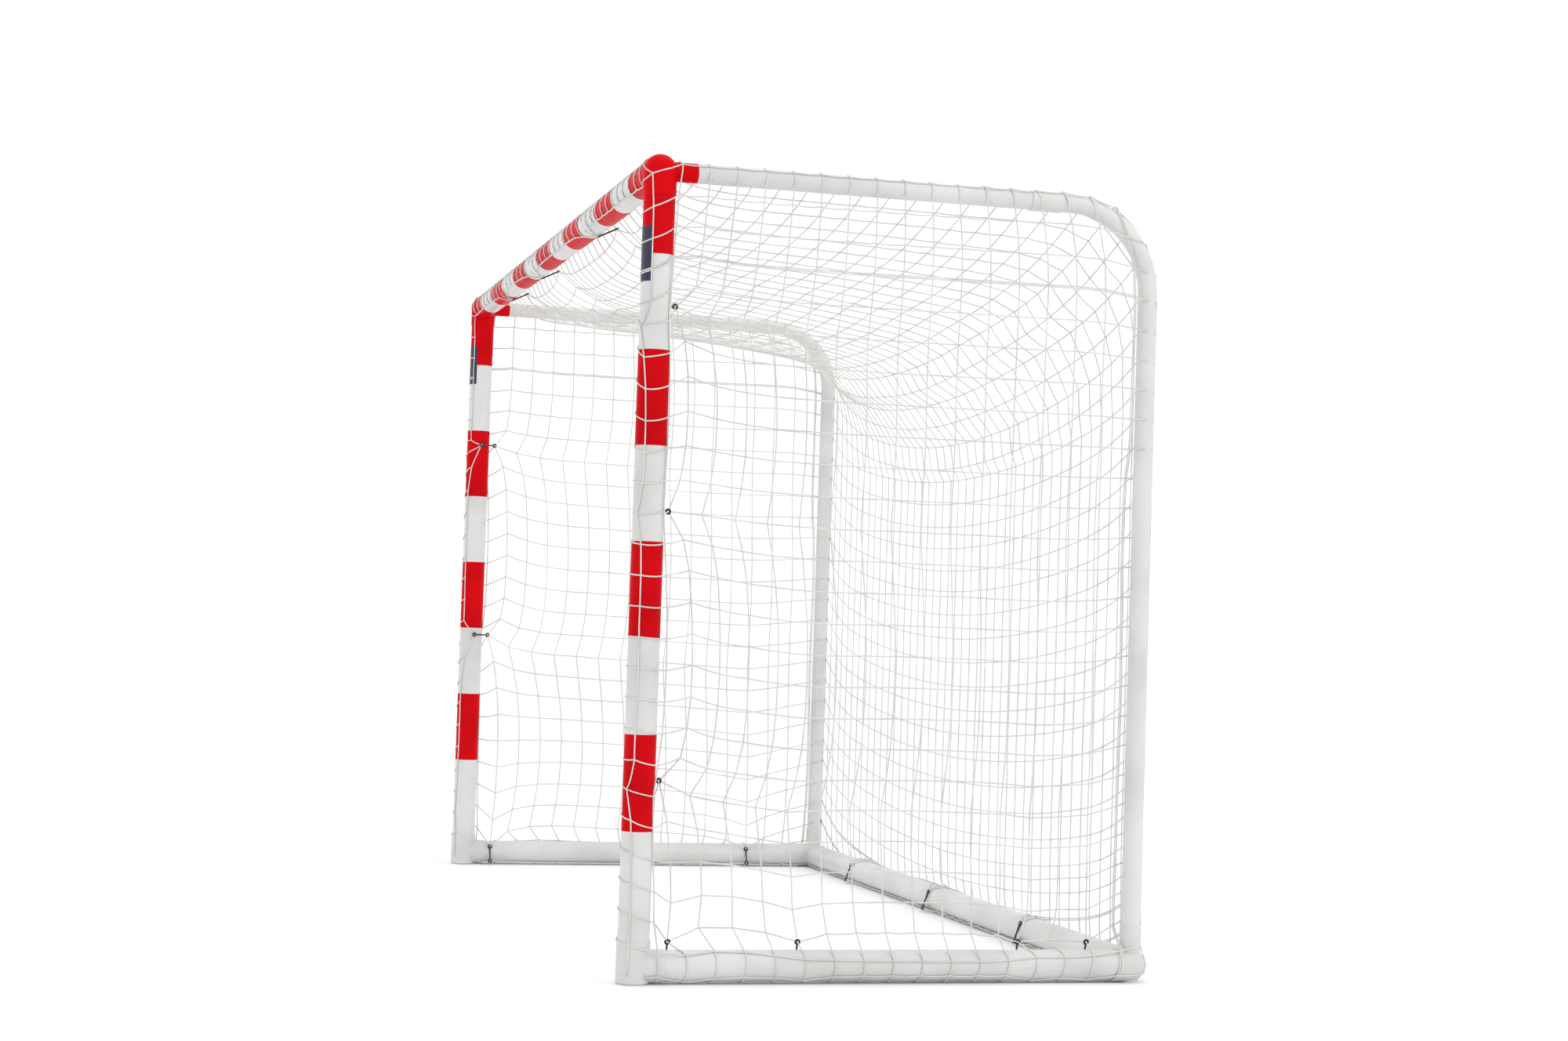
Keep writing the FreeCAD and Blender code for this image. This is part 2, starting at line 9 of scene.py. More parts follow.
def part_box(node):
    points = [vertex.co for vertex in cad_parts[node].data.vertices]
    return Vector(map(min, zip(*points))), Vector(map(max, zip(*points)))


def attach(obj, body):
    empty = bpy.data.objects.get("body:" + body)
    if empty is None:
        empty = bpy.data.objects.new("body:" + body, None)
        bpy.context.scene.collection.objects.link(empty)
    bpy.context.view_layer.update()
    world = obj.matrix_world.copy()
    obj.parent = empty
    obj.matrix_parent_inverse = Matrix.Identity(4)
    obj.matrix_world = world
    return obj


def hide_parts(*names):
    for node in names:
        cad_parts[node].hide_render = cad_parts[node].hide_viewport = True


# Looks for a free-standing goal: finishes for the CAD frame, and the net as real strands.
# Metres, in the CAD frame: X across the mouth, +Y from the mouth to the back, +Z up.

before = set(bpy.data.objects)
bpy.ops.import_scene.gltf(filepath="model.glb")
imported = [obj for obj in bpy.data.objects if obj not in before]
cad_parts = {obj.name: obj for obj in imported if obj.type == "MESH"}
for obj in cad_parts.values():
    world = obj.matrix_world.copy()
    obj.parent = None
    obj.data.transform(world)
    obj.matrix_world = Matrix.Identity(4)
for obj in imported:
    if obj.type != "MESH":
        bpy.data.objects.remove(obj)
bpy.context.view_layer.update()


# ---------------------------------------------------------------- places, from the CAD nodes
def middle(node):
    low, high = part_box(node)
    return (low + high) / 2


def half_width(node, axis):
    low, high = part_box(node)
    return (high[axis] - low[axis]) / 2


POST_X = middle("right_post").x
FRONT_Y = middle("right_post").y
REAR_Y = middle("right_rear_upright").y
BASE_Z = middle("right_base_tube").z
TOP_Z = middle("crossbar").z
THICK_R = half_width("right_post_red_bands", 0)
THIN_R = half_width("right_roof_tube", 0)
FITTING_R = half_width("right_front_foot", 0)
SOCKET_R = half_width("right_rear_bend", 0)
BELL_START_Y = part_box("right_rear_bend")[0].y
POST_BOTTOM_Z, POST_TOP_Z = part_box("right_post")[0].z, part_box("right_post")[1].z
SHOULDER_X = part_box("crossbar")[1].x
SIDE_TUBE_START_Y, SIDE_TUBE_END_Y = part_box("right_base_tube")[0].y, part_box("right_base_tube")[1].y
COLLAR_TOP_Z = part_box("right_rear_foot")[1].z
BEND_RADIUS = 0.225
BEND_Y = REAR_Y - BEND_RADIUS
BEND_Z = TOP_Z - BEND_RADIUS

# ---------------------------------------------------------------- the net's own sizes
# Lengths of twine are for one cell. Rows across are a little shorter than their span, so they
# hang taut; the fold's and the hooks' rows are longer. The last numbers steer the settling.
TWINE_R = 0.0019
CELLS_ACROSS = 41
CELLS_DEEP = 18
CELLS_UP = 26
SIDE_EDGE_X = POST_X + THIN_R * 0.8
REST_ACROSS_ROOF = 2 * SIDE_EDGE_X / CELLS_ACROSS
REST_ACROSS_BACK = 2 * POST_X / CELLS_ACROSS
LEAST_SLACK = -0.004
FOLD_SLACK = 0.019
HOOKED_SLACK = 0.06
HOOKED_ROWS = 2
REST_DEEP_ROOF = 0.0732
REST_DEEP_SIDE = 0.0770
REST_UP = 0.0775
FINE_LINKS = 4
REST_UNEVEN = 0.012
COARSE_STEPS, COARSE_ROUNDS, COARSE_DROP = 300, 30, 0.0002
FINE_STEPS, FINE_ROUNDS, FINE_DROP = 60, 14, 0.0001
SPEED_KEPT = 0.94
LONGEST_MOVE = 0.015
PULL_RAMP = 0.4
STRAIGHTEN = 0.12
ROD_REACH = 0.16
WRAP_ANGLE = math.radians(30)
BORDER_ANGLE = math.radians(134)
TOP_RUNG_Z = TOP_Z - 0.03
KNOT_R = TWINE_R * 1.65
FLOOR_CLEAR = KNOT_R + 0.0002


def lattice():
    """Knots of the net as (across, deep, up) steps: a box open at the mouth and the ground,
    with one more row, numbered -1, that wraps round the mouth's and the ground's tubes."""
    knots = []
    for i in range(CELLS_ACROSS + 1):
        for j in range(-1, CELLS_DEEP + 1):
            for k in range(-1, CELLS_UP + 1):
                side = i in (0, CELLS_ACROSS)
                back = j == CELLS_DEEP
                roof = k == CELLS_UP
                corner = (j < 1 and k < 0) or (side and back and k < 0)
                if (side or back or roof) and not corner:
                    knots.append((i, j, k))
    return knots


# ---------------------------------------------------------------- where the net starts
def along_top(share):
    """A point of the roof edge, as (y, z), from the post to the middle of the bend."""
    radius = BEND_RADIUS + THIN_R * 0.7
    straight = BEND_Y - FRONT_Y + THICK_R * 0.5
    arc = radius * math.pi / 4
    run = share * (straight + arc)
    if run < straight:
        return np.array([FRONT_Y - THICK_R * 0.5 + run, TOP_Z + THIN_R * 0.7])
    angle = (run - straight) / radius
    return np.array([BEND_Y + radius * math.sin(angle), BEND_Z + radius * math.cos(angle)])


def along_rear(share):
    """A point of the rear edge, as (y, z), from the ground to the middle of the bend."""
    radius = BEND_RADIUS + THIN_R + TWINE_R
    low = BASE_Z - THICK_R * 0.5
    straight = BEND_Z - low
    arc = radius * math.pi / 4
    run = share * (straight + arc)
    if run < straight:
        return np.array([REAR_Y + THIN_R + TWINE_R, low + run])
    angle = (run - straight) / radius
    return np.array([BEND_Y + radius * math.cos(angle), BEND_Z + radius * math.sin(angle)])


def side_point(deep, up):
    """The side panel at rest, as (y, z): a patch between its four edges."""
    low = BASE_Z - THICK_R * 0.5
    front = FRONT_Y - THICK_R * 0.5
    top, rear = along_top(deep), along_rear(up)
    bottom = np.array([front + deep * (along_rear(0)[0] - front), low])
    fore = np.array([front, low + up * (TOP_RUNG_Z - low)])
    corners = (
        (1 - deep) * (1 - up) * np.array([front, low])
        + deep * (1 - up) * along_rear(0)
        + (1 - deep) * up * np.array([front, TOP_RUNG_Z])
        + deep * up * along_top(1)
    )
    shape_top = top if deep > 0 else np.array([front, TOP_RUNG_Z])
    return (1 - up) * bottom + up * shape_top + (1 - deep) * fore + deep * rear - corners


def round_tube(centre, outward, away, angle):
    """A point on a thick tube: angle is measured from outward, away from the panel."""
    radius = THICK_R + TWINE_R
    return centre + radius * (math.cos(angle) * outward + math.sin(angle) * away)


def start_point(knot):
    """Where a knot would be if the net were pulled smooth over the frame."""
    i, j, k = knot
    across = 2 * i / CELLS_ACROSS - 1
    deep = max(j, 0) / CELLS_DEEP
    up = max(k, 0) / CELLS_UP
    y, z = side_point(deep, up)
    side = i in (0, CELLS_ACROSS)
    sign = 1 if across > 0 else -1
    forward, down = np.array([0, -1, 0]), np.array([0, 0, -1])
    if side:
        taper = deep + (1 - deep) * up
        at_rear = j == CELLS_DEEP
        x = sign * (POST_X + (0 if at_rear else (1 - taper) * THICK_R + taper * THIN_R * 0.8))
        outward = np.array([sign, 0, 0])
        if j <= 0:
            angle = WRAP_ANGLE if j == 0 else BORDER_ANGLE
            return round_tube(np.array([sign * POST_X, FRONT_Y, z]), outward, forward, angle)
        if k <= 0:
            angle = WRAP_ANGLE if k == 0 else BORDER_ANGLE
            return round_tube(np.array([sign * POST_X, y, BASE_Z]), outward, down, angle)
        return np.array([x, y, z])
    x = across * (POST_X + THIN_R * 0.7)
    if k == CELLS_UP:
        if j <= 0:
            angle = WRAP_ANGLE if j == 0 else BORDER_ANGLE
            return round_tube(np.array([x, FRONT_Y, TOP_Z]), -down, forward, angle)
        y, z = along_top(deep)
        return np.array([x, y, z])
    y, z = along_rear(up)
    if k <= 0:
        angle = WRAP_ANGLE if k == 0 else BORDER_ANGLE
        return round_tube(np.array([x, REAR_Y, BASE_Z]), -forward, down, angle)
    return np.array([x, y, z])


# ---------------------------------------------------------------- the frame, for contact
def capsules():
    """The frame as rods with round ends: (start, end, radius)."""
    rods = [
        ((-SHOULDER_X, FRONT_Y, TOP_Z), (SHOULDER_X, FRONT_Y, TOP_Z), THICK_R),
        ((-SHOULDER_X, REAR_Y, BASE_Z), (SHOULDER_X, REAR_Y, BASE_Z), THICK_R),
    ]
    for sign in (-1, 1):
        x = sign * POST_X
        shoulder = sign * SHOULDER_X
        top, low, rear = (x, FRONT_Y, TOP_Z), (x, FRONT_Y, BASE_Z), (x, REAR_Y, BASE_Z)
        rods += [
            ((x, FRONT_Y, POST_BOTTOM_Z), (x, FRONT_Y, POST_TOP_Z), THICK_R),
            ((x, SIDE_TUBE_START_Y, BASE_Z), (x, SIDE_TUBE_END_Y, BASE_Z), THICK_R),
            (top, (x, FRONT_Y, POST_TOP_Z), FITTING_R),
            (top, (shoulder, FRONT_Y, TOP_Z), FITTING_R),
            (low, (x, FRONT_Y, POST_BOTTOM_Z), FITTING_R),
            (low, (x, SIDE_TUBE_START_Y, BASE_Z), FITTING_R),
            (rear, (x, SIDE_TUBE_END_Y, BASE_Z), FITTING_R),
            (rear, (shoulder, REAR_Y, BASE_Z), FITTING_R),
            (rear, (x, REAR_Y, COLLAR_TOP_Z), SOCKET_R),
            ((x, FRONT_Y, TOP_Z), (x, BELL_START_Y, TOP_Z), THIN_R),
            ((x, BELL_START_Y, TOP_Z), (x, BEND_Y, TOP_Z), SOCKET_R),
            ((x, REAR_Y, COLLAR_TOP_Z), (x, REAR_Y, BEND_Z), THIN_R),
        ]
        steps = 9
        turn = [math.pi / 2 * step / steps for step in range(steps + 1)]
        points = [(x, BEND_Y + BEND_RADIUS * math.sin(a), BEND_Z + BEND_RADIUS * math.cos(a))
                  for a in turn]
        rods += [(a, b, THIN_R) for a, b in zip(points, points[1:])]
    return [(np.array(a, float), np.array(b, float), r + TWINE_R) for a, b, r in rods]


def near_each_rod(points, rods, reach):
    """For each rod, the points that could ever touch it."""
    found = []
    for a, b, _ in rods:
        low, high = np.minimum(a, b) - reach, np.maximum(a, b) + reach
        found.append(np.nonzero(((points > low) & (points < high)).all(axis=1))[0])
    return found


def push_out(points, rods, near):
    """Moves points that are inside a rod to its surface, and keeps all off the ground."""
    for (a, b, radius), picked in zip(rods, near):
        here = points[picked]
        run = b - a
        share = np.clip((here - a) @ run / (run @ run), 0, 1)
        away = here - a - share[:, None] * run
        distance = np.linalg.norm(away, axis=1)
        inside = distance < radius
        scale = radius / np.maximum(distance[inside], 1e-6) - 1
        here[inside] += away[inside] * scale[:, None]
        points[picked] = here
    points[:, 2] = np.maximum(points[:, 2], FLOOR_CLEAR)


# ---------------------------------------------------------------- the hooks' eyes
def hook_eyes(node, tube_axis, towards):
    """For each hook of a node, the place of its near eye and of its far eye."""
    points = np.array([v.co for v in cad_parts[node].data.vertices], float)
    points = points[np.argsort(points[:, tube_axis])]
    breaks = np.nonzero(np.diff(points[:, tube_axis]) > 0.05)[0] + 1
    eyes = []
    for one in np.split(points, breaks):
        reach = one @ np.array(towards)
        eye_size = 0.012
        near = one[reach < reach.min() + eye_size].mean(axis=0)
        far = one[reach > reach.max() - eye_size].mean(axis=0)
        eyes.append((near, far))
    return eyes


def hook_pins(places):
    """The knots that the hooks hold: the border's at the near eye, the panel's at the far."""
    pins = {}

    def nearest(choices, point, axis):
        return min(choices, key=lambda knot: abs(places[knot][axis] - point[axis]))

    right = CELLS_ACROSS
    for side, i in (("left", 0), ("right", right)):
        for near, far in hook_eyes(side + "_post_net_hooks", 2, (0, 1, 0)):
            row = nearest([(i, 2, k) for k in range(3, CELLS_UP)], far, 2)[2]
            pins[(i, 2, row)] = far
            pins[(i, -1, row)] = near
        for near, far in hook_eyes(side + "_base_net_hooks", 1, (0, 0, 1)):
            column = nearest([(i, j, 2) for j in range(2, CELLS_DEEP)], far, 1)[1]
            pins[(i, column, 2)] = far
            pins[(i, column, -1)] = near
    for near, far in hook_eyes("crossbar_net_hooks", 0, (0, 1, 0)):
        column = nearest([(i, 2, CELLS_UP) for i in range(2, right - 1)], far, 0)[0]
        pins[(column, 2, CELLS_UP)] = far
        pins[(column, -1, CELLS_UP)] = near
    for near, far in hook_eyes("back_base_net_hooks", 0, (0, 0, 1)):
        column = nearest([(i, CELLS_DEEP, 1) for i in range(2, right - 1)], far, 0)[0]
        pins[(column, CELLS_DEEP, 1)] = far
        pins[(column, CELLS_DEEP, -1)] = near
    return pins


# ---------------------------------------------------------------- the net, relaxed
def strand_runs(knots):
    """The net's strands: lists of neighbouring knots along one direction, and its number."""
    known = set(knots)
    runs = []
    for axis in range(3):
        step = tuple(int(axis == n) for n in range(3))
        for knot in knots:
            before = tuple(a - b for a, b in zip(knot, step))
            if before in known:
                continue
            run = [knot]
            while True:
                after = tuple(a + b for a, b in zip(run[-1], step))
                if after not in known:
                    break
                run.append(after)
            if len(run) > 1:
                runs.append((axis, run))
    return runs


def net_particles(number, knot_points, runs, links):
    """The knots, then the points between them: links to a cell, and each strand's chain."""
    points = [*knot_points]
    chains = []
    for axis, run in runs:
        chain = [number[run[0]]]
        for a, b in zip(run, run[1:]):
            pa, pb = knot_points[number[a]], knot_points[number[b]]
            for link in range(1, links):
                chain.append(len(points))
                points.append(pa + (pb - pa) * link / links)
            chain.append(number[b])
        chains.append((axis, run[len(run) // 2], np.array(chain)))
    return np.array(points), chains


def cell_length(axis, knot):
    """The twine in one cell: rows across are slackest near the rear bend and at the hooks."""
    i, j, k = knot
    if axis == 2:
        return REST_UP
    if axis == 1:
        return REST_DEEP_SIDE if i in (0, CELLS_ACROSS) else REST_DEEP_ROOF
    if k == CELLS_UP:
        return REST_ACROSS_ROOF * (1 + LEAST_SLACK + FOLD_SLACK * (max(j, 0) / CELLS_DEEP) ** 3)
    if k <= HOOKED_ROWS:
        return REST_ACROSS_BACK * (1 + HOOKED_SLACK)
    return REST_ACROSS_BACK * (1 + LEAST_SLACK + FOLD_SLACK * (max(k, 0) / CELLS_UP) ** 5)


def stretch_batches(chains, links):
    """Links that share no point, batch by batch: (first points, second points, lengths)."""
    chance = np.random.default_rng(7)
    batches = []
    for axis in range(3):
        picked = [(chain, cell_length(axis, knot)) for a, knot, chain in chains if a == axis]
        for parity in range(2):
            firsts = np.concatenate([chain[parity:-1:2] for chain, _ in picked])
            seconds = np.concatenate([chain[parity + 1::2] for chain, _ in picked])
            lengths = np.concatenate([np.full(len(chain[parity:-1:2]), cell / links)
                                      for chain, cell in picked])
            lengths *= 1 + REST_UNEVEN * chance.standard_normal(len(lengths))
            batches.append((firsts, seconds, lengths))
    return batches


def hold(knots, number, places, pins):
    """How firmly the frame holds each knot: its weight, its home and the pull towards it."""
    weight = np.ones(len(knots))
    pull = np.zeros(len(knots))
    homes = np.array([places[knot] for knot in knots])
    for knot in knots:
        i, j, k = knot
        side = i in (0, CELLS_ACROSS)
        n = number[knot]
        if min(j, k) < 0:
            weight[n], pull[n] = 0.5, 0.04
        elif j == 0 or k == 0:
            weight[n], pull[n] = 0.15, 0.20
        elif side and (j == CELLS_DEEP or k == CELLS_UP):
            weight[n], pull[n] = 0.0, 1.0
        if knot in pins:
            weight[n], pull[n] = 0.0, 1.0
            homes[n] = pins[knot]
    return weight, homes, pull[:, None]


def settle(points, chains, links, held, steps, rounds, drop):
    """Lets the net hang: links that can't stretch, under gravity, outside the frame."""
    weight, homes, pull = held
    knot_count = len(homes)
    weights = np.concatenate([weight, np.ones(len(points) - knot_count)])
    batches = stretch_batches(chains, links)
    inner = np.concatenate([np.stack([c[:-2], c[1:-1], c[2:]], 1) for _, _, c in chains])
    inner = inner[inner[:, 1] >= knot_count]
    rods = capsules()
    near = near_each_rod(points, rods, ROD_REACH)
    before = points.copy()
    fall = np.array([0, 0, -drop])
    for step in range(steps):
        move = SPEED_KEPT * (points - before) + fall
        before = points.copy()
        points = points + np.clip(move, -LONGEST_MOVE, LONGEST_MOVE) * (weights > 0)[:, None]
        ease = min(1.0, (step + 1) / (PULL_RAMP * steps))
        points[:knot_count] += ease * pull * (homes - points[:knot_count])
        bow = (points[inner[:, 0]] + points[inner[:, 2]]) / 2 - points[inner[:, 1]]
        points[inner[:, 1]] += STRAIGHTEN * bow
        for _ in range(rounds):
            for a, b, lengths in batches:
                gap = points[b] - points[a]
                length = np.sqrt((gap * gap).sum(axis=1))
                total = np.maximum(weights[a] + weights[b], 1e-9)
                shift = gap * (np.maximum(length - lengths, 0) / (length * total))[:, None]
                points[a] += shift * weights[a][:, None]
                points[b] -= shift * weights[b][:, None]
        push_out(points, rods, near)
    return points


def relax(knots, runs):
    """The net as it hangs: first its knots alone, then with the strands between them."""
    number = {knot: n for n, knot in enumerate(knots)}
    places = {knot: start_point(knot) for knot in knots}
    pins = hook_pins(places)
    held = hold(knots, number, places, pins)
    start = np.array([places[knot] for knot in knots])
    coarse, chains = net_particles(number, start, runs, 1)
    coarse = settle(coarse, chains, 1, held, COARSE_STEPS, COARSE_ROUNDS, COARSE_DROP)
    fine, chains = net_particles(number, coarse, runs, FINE_LINKS)
    fine = settle(fine, chains, FINE_LINKS, held, FINE_STEPS, FINE_ROUNDS, FINE_DROP)
    return number, fine, chains


# ---------------------------------------------------------------- strands as meshes
def tube_rings(path, radius, sides):
    """Rings of points round a path, with no twist from one to the next."""
    along = np.gradient(path, axis=0)
    along /= np.maximum(np.linalg.norm(along, axis=1), 1e-9)[:, None]
    helper = np.array([0.0, 0.0, 1.0]) if abs(along[0][2]) < 0.9 else np.array([1.0, 0.0, 0.0])
    across = np.empty_like(path)
    last = np.cross(along[0], helper)
    for n, direction in enumerate(along):
        last = last - direction * (last @ direction)
        last = last / np.linalg.norm(last)
        across[n] = last
    beside = np.cross(along, across)
    angles = 2 * math.pi * np.arange(sides) / sides
    ring = (np.cos(angles)[None, :, None] * across[:, None, :]
            + np.sin(angles)[None, :, None] * beside[:, None, :])
    return path[:, None, :] + radius * ring


def strand(path, radius=TWINE_R, sides=6):
    """Vertices and faces of one closed strand."""
    rings = tube_rings(path, radius, sides)
    count = len(path)
    vertices = rings.reshape(-1, 3)
    faces = []
    for n in range(count - 1):
        for s in range(sides):
            t = (s + 1) % sides
            faces.append((n * sides + s, n * sides + t, (n + 1) * sides + t, (n + 1) * sides + s))
    faces.append(tuple(range(sides - 1, -1, -1)))
    faces.append(tuple((count - 1) * sides + s for s in range(sides)))
    return vertices, faces


def knot_ball():
    """A small rounded knot: an icosahedron, which smooth shading makes round."""
    shape = bmesh.new()
    bmesh.ops.create_icosphere(shape, subdivisions=1, radius=KNOT_R)
    vertices = np.array([v.co for v in shape.verts])
    shape.verts.index_update()
    faces = [tuple(v.index for v in face.verts) for face in shape.faces]
    shape.free()
    return vertices, faces


def join_parts(name, parts):
    """One smooth object from several (vertices, faces)."""
    vertices, faces, total = [], [], 0
    for points, polygons in parts:
        vertices.append(points)
        faces += [tuple(v + total for v in polygon) for polygon in polygons]
        total += len(points)
    mesh = bpy.data.meshes.new(name)
    mesh.from_pydata(np.concatenate(vertices).tolist(), [], faces)
    mesh.polygons.foreach_set("use_smooth", [True] * len(mesh.polygons))
    mesh.update()
    thing = bpy.data.objects.new(name, mesh)
    bpy.context.scene.collection.objects.link(thing)
    return thing


# A doubled row lies above its twin; a doubled column lies behind it.
SEAM_SIDE = {0: np.array([0, 0, 1]), 1: np.array([0, 0, 1]), 2: np.array([0, 1, 0])}
SIDE_SEAM = 23
BACK_SEAMS = (2, 3)
SEAM_OFFSET = 0.005


def panel_of(axis, run):
    """The panel that a strand belongs to."""
    i, _, k = run[len(run) // 2]
    if i == 0 and axis != 0:
        return "left_side_net_strands"
    if i == CELLS_ACROSS and axis != 0:
        return "right_side_net_strands"
    if k == CELLS_UP:
        return "roof_net_strands"
    return "back_net_strands"


def seam_row(axis, run):
    """True where two nets are laced together, so the strand is double."""
    i, j, k = run[len(run) // 2]
    side = i in (0, CELLS_ACROSS)
    if axis == 0:
        return j == CELLS_DEEP and k in BACK_SEAMS
    if axis == 1:
        return side and k == SIDE_SEAM
    return side and j == CELLS_DEEP - 1


def build_net(twine):
    knots = lattice()
    runs = strand_runs(knots)
    number, points, chains = relax(knots, runs)
    parts = {}
    knotted = {}
    for (axis, run), (_, _, chain) in zip(runs, chains):
        panel = panel_of(axis, run)
        path = points[chain]
        parts.setdefault(panel, []).append(strand(path))
        if seam_row(axis, run):
            parts[panel].append(strand(path + SEAM_OFFSET * SEAM_SIDE[axis]))
        for knot in run:
            knotted.setdefault(knot, panel)
    ball, ball_faces = knot_ball()
    for knot, panel in knotted.items():
        parts[panel].append((ball + points[number[knot]], ball_faces))
    replaced = {
        "left_side_net_strands": "left_side_net",
        "right_side_net_strands": "right_side_net",
        "roof_net_strands": "roof_and_back_net",
        "back_net_strands": "roof_and_back_net",
    }
    for panel, pieces in parts.items():
        net = join_parts(panel, pieces)
        net.data.materials.append(twine)
        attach(net, "root")
        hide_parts(replaced[panel])


# ---------------------------------------------------------------- materials
def material(name):
    made = bpy.data.materials.new(name)
    made.use_nodes = True
    nodes, links = made.node_tree.nodes, made.node_tree.links
    return made, nodes, links, nodes["Principled BSDF"]


def noise(nodes, links, coordinates, scale, detail):
    """Noise on object coordinates."""
    texture = nodes.new("ShaderNodeTexNoise")
    texture.inputs["Scale"].default_value = scale
    texture.inputs["Detail"].default_value = detail
    links.new(coordinates, texture.inputs["Vector"])
    return texture.outputs["Fac"]


def ramp(nodes, links, value, stops):
    """A colour ramp: stops are (place, colour)."""
    node = nodes.new("ShaderNodeValToRGB")
    elements = node.color_ramp.elements
    while len(elements) < len(stops):
        elements.new(0.5)
    for element, (place, colour) in zip(elements, stops):
        element.position = place
        element.color = (*colour, 1)
    links.new(value, node.inputs["Fac"])
    return node.outputs["Color"]


def bump(nodes, links, height, strength, distance, shader):
    node = nodes.new("ShaderNodeBump")
    node.inputs["Strength"].default_value = strength
    node.inputs["Distance"].default_value = distance
    links.new(height, node.inputs["Height"])
    links.new(node.outputs["Normal"], shader.inputs["Normal"])


def remap(nodes, links, value, low, high):
    node = nodes.new("ShaderNodeMapRange")
    node.inputs["To Min"].default_value = low
    node.inputs["To Max"].default_value = high
    links.new(value, node.inputs["Value"])
    return node.outputs["Result"]


def plastic(name, dark, light, roughness, grain=0.00005, gloss=0.5, ior=1.46):
    """Smooth plastic with faint handling marks, uneven gloss and a fine surface grain."""
    made, nodes, links, shader = material(name)
    place = nodes.new("ShaderNodeTexCoord").outputs["Object"]
    blotch = noise(nodes, links, place, 5.0, 6.0)
    links.new(ramp(nodes, links, blotch, ((0.32, dark), (0.62, light))),
              shader.inputs["Base Color"])
    smear = noise(nodes, links, place, 24.0, 5.0)
    links.new(remap(nodes, links, smear, roughness - 0.08, roughness + 0.12),
              shader.inputs["Roughness"])
    fine = noise(nodes, links, place, 900.0, 2.0)
    bump(nodes, links, fine, 0.25, grain, shader)
    shader.inputs["IOR"].default_value = ior
    shader.inputs["Specular IOR Level"].default_value = gloss
    return made


def twine_material():
    """White twisted twine: fine fibre bump and a little uneven, creamy colour."""
    made, nodes, links, shader = material("net_twine")
    place = nodes.new("ShaderNodeTexCoord").outputs["Object"]
    tone = noise(nodes, links, place, 9.0, 3.0)
    links.new(ramp(nodes, links, tone, ((0.3, (0.55, 0.54, 0.52)), (0.65, (0.69, 0.68, 0.66)))),
              shader.inputs["Base Color"])
    fibre = noise(nodes, links, place, 700.0, 3.0)
    bump(nodes, links, fibre, 0.6, 0.0006, shader)
    shader.inputs["Roughness"].default_value = 0.82
    shader.inputs["Sheen Weight"].default_value = 0.25
    return made


def dress(nodes_wanted, finish):
    """Gives a finish to CAD nodes."""
    for name in nodes_wanted:
        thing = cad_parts[name]
        for slot in thing.material_slots:
            slot.material = finish


def both(*endings):
    return ["%s_%s" % (side, ending) for side in ("left", "right") for ending in endings]


def dress_frame():
    tube = plastic("white_tube", (0.56, 0.56, 0.55), (0.66, 0.66, 0.65), 0.34)
    fitting = plastic("white_fitting", (0.53, 0.53, 0.52), (0.63, 0.63, 0.62), 0.42, 0.0001)
    red = plastic("red_fitting", (0.55, 0.002, 0.004), (0.64, 0.003, 0.006), 0.36,
                  gloss=0.12, ior=1.2)
    film = plastic("red_film", (0.46, 0.002, 0.005), (0.60, 0.003, 0.007), 0.34,
                   gloss=0.12, ior=1.2)
    label = plastic("label_film", (0.010, 0.010, 0.030), (0.022, 0.020, 0.055), 0.38)
    hook = plastic("black_hook", (0.010, 0.010, 0.010), (0.030, 0.030, 0.030), 0.45)
    sleeve = plastic("inner_sleeve", (0.45, 0.45, 0.45), (0.55, 0.55, 0.55), 0.5)
    dress(["crossbar", "back_base_tube"], tube)
    dress(both("post", "base_tube", "roof_tube", "rear_bend", "rear_upright"), tube)
    dress(both("front_foot", "rear_foot"), fitting)
    dress(both("top_corner"), red)
    dress(["crossbar_red_bands"] + both("post_red_bands"), film)
    dress(both("post_label"), label)
    dress(["crossbar_net_hooks", "back_base_net_hooks"], hook)
    dress(both("post_net_hooks", "base_net_hooks"), hook)
    dress(both("upright_coupler"), sleeve)


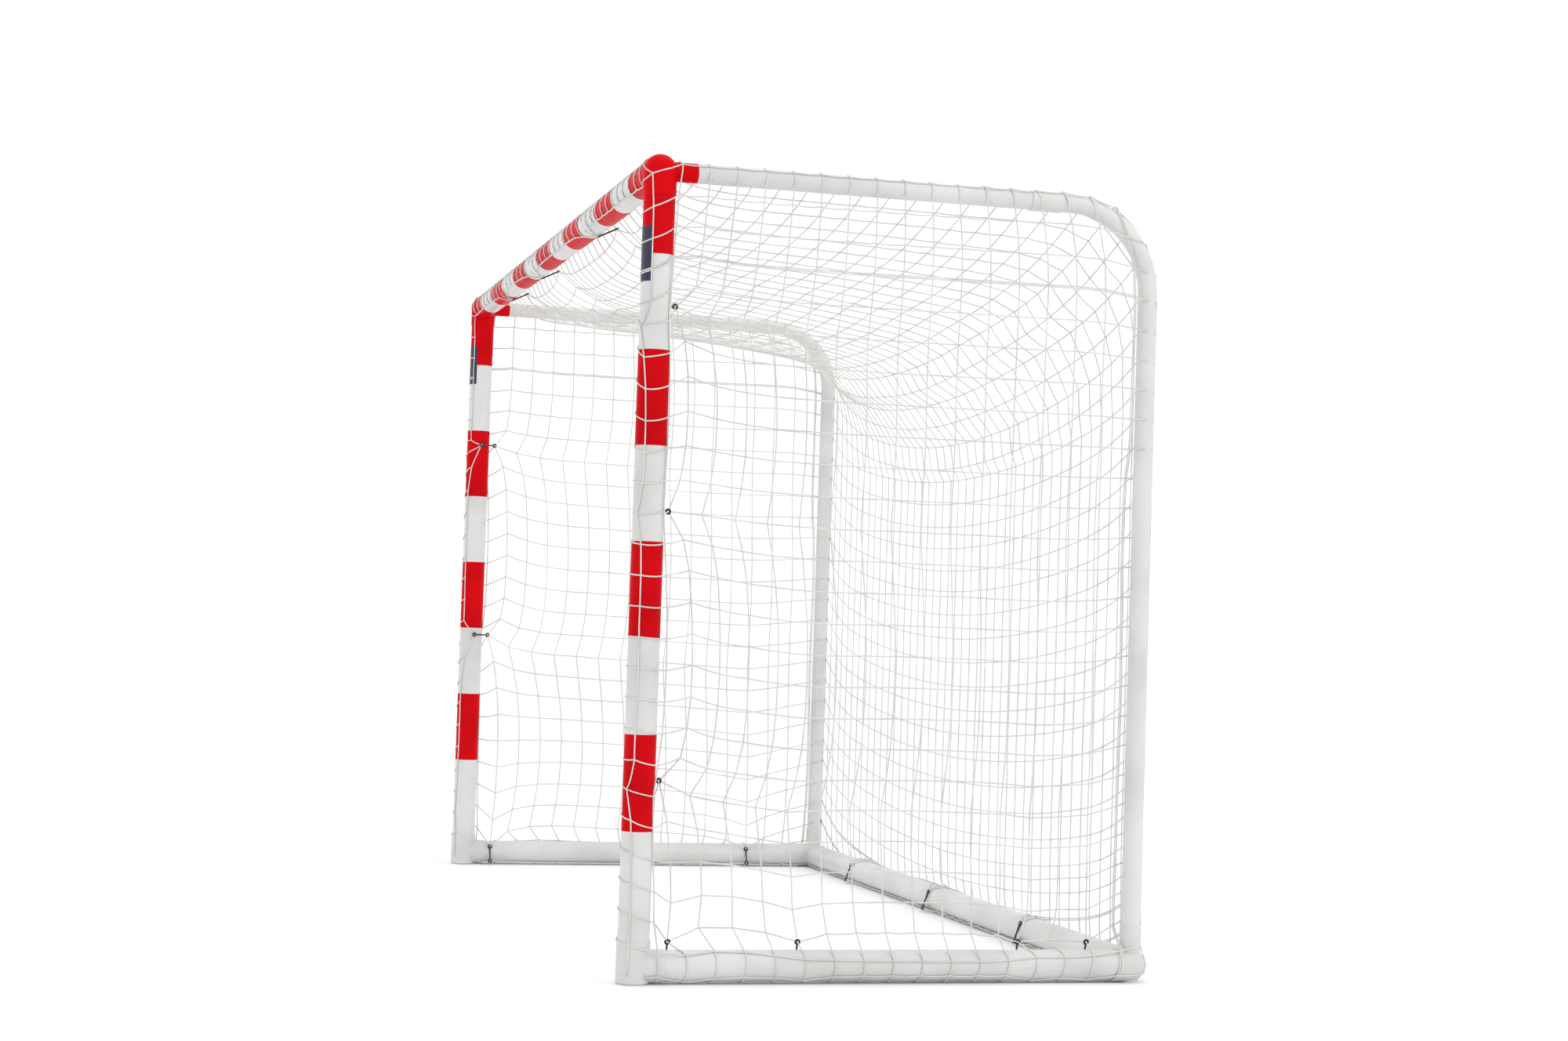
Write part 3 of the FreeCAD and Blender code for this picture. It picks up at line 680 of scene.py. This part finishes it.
# ---------------------------------------------------------------- studio
def floor():
    shape = bmesh.new()
    bmesh.ops.create_grid(shape, x_segments=1, y_segments=1, size=60)
    mesh = bpy.data.meshes.new("studio_floor")
    shape.to_mesh(mesh)
    shape.free()
    thing = bpy.data.objects.new("studio_floor", mesh)
    bpy.context.scene.collection.objects.link(thing)
    made, _, _, shader = material("studio_floor")
    shader.inputs["Base Color"].default_value = (0.91, 0.915, 0.92, 1)
    shader.inputs["Roughness"].default_value = 0.9
    mesh.materials.append(made)


def area_light(name, place, aim, size, power, colour=(1, 1, 1)):
    light = bpy.data.lights.new(name, "AREA")
    light.size = size
    light.energy = power
    light.color = colour
    thing = bpy.data.objects.new(name, light)
    thing.location = place
    thing.rotation_euler = (Vector(aim) - Vector(place)).to_track_quat("-Z", "Y").to_euler()
    bpy.context.scene.collection.objects.link(thing)


def lights():
    world = bpy.data.worlds.new("studio")
    world.use_nodes = True
    sky = world.node_tree.nodes["Background"]
    sky.inputs["Color"].default_value = (1.0, 1.0, 1.0, 1)
    sky.inputs["Strength"].default_value = 1.1
    bpy.context.scene.world = world
    area_light("overhead", (0.5, 1.0, 7.0), (0, 0, 0.8), 6.0, 70)
    area_light("from_the_right", (6.0, 4.0, 4.5), (0, 0, 1.0), 3.0, 60)


def camera():
    """The photograph's view: low, from the right of the mouth, almost along the goal line."""
    yaw, pitch, roll = -1.3102, 0.0423, 0.0329
    lens = bpy.data.cameras.new("camera")
    lens.sensor_width = 36
    lens.lens = 58.56
    lens.clip_end = 200
    ahead = Vector((math.sin(yaw) * math.cos(pitch), math.cos(yaw) * math.cos(pitch),
                    math.sin(pitch)))
    level = Vector((math.cos(yaw), -math.sin(yaw), 0))
    upward = level.cross(ahead)
    right = level * math.cos(roll) + upward * math.sin(roll)
    top = upward * math.cos(roll) - level * math.sin(roll)
    thing = bpy.data.objects.new("camera", lens)
    turn = Matrix((right, top, -ahead)).transposed().to_4x4()
    thing.matrix_world = Matrix.Translation((7.8096, -1.9859, 0.8963)) @ turn
    bpy.context.scene.collection.objects.link(thing)
    bpy.context.scene.camera = thing


dress_frame()
build_net(twine_material())
floor()
lights()
camera()
bpy.context.scene.view_settings.view_transform = "Standard"
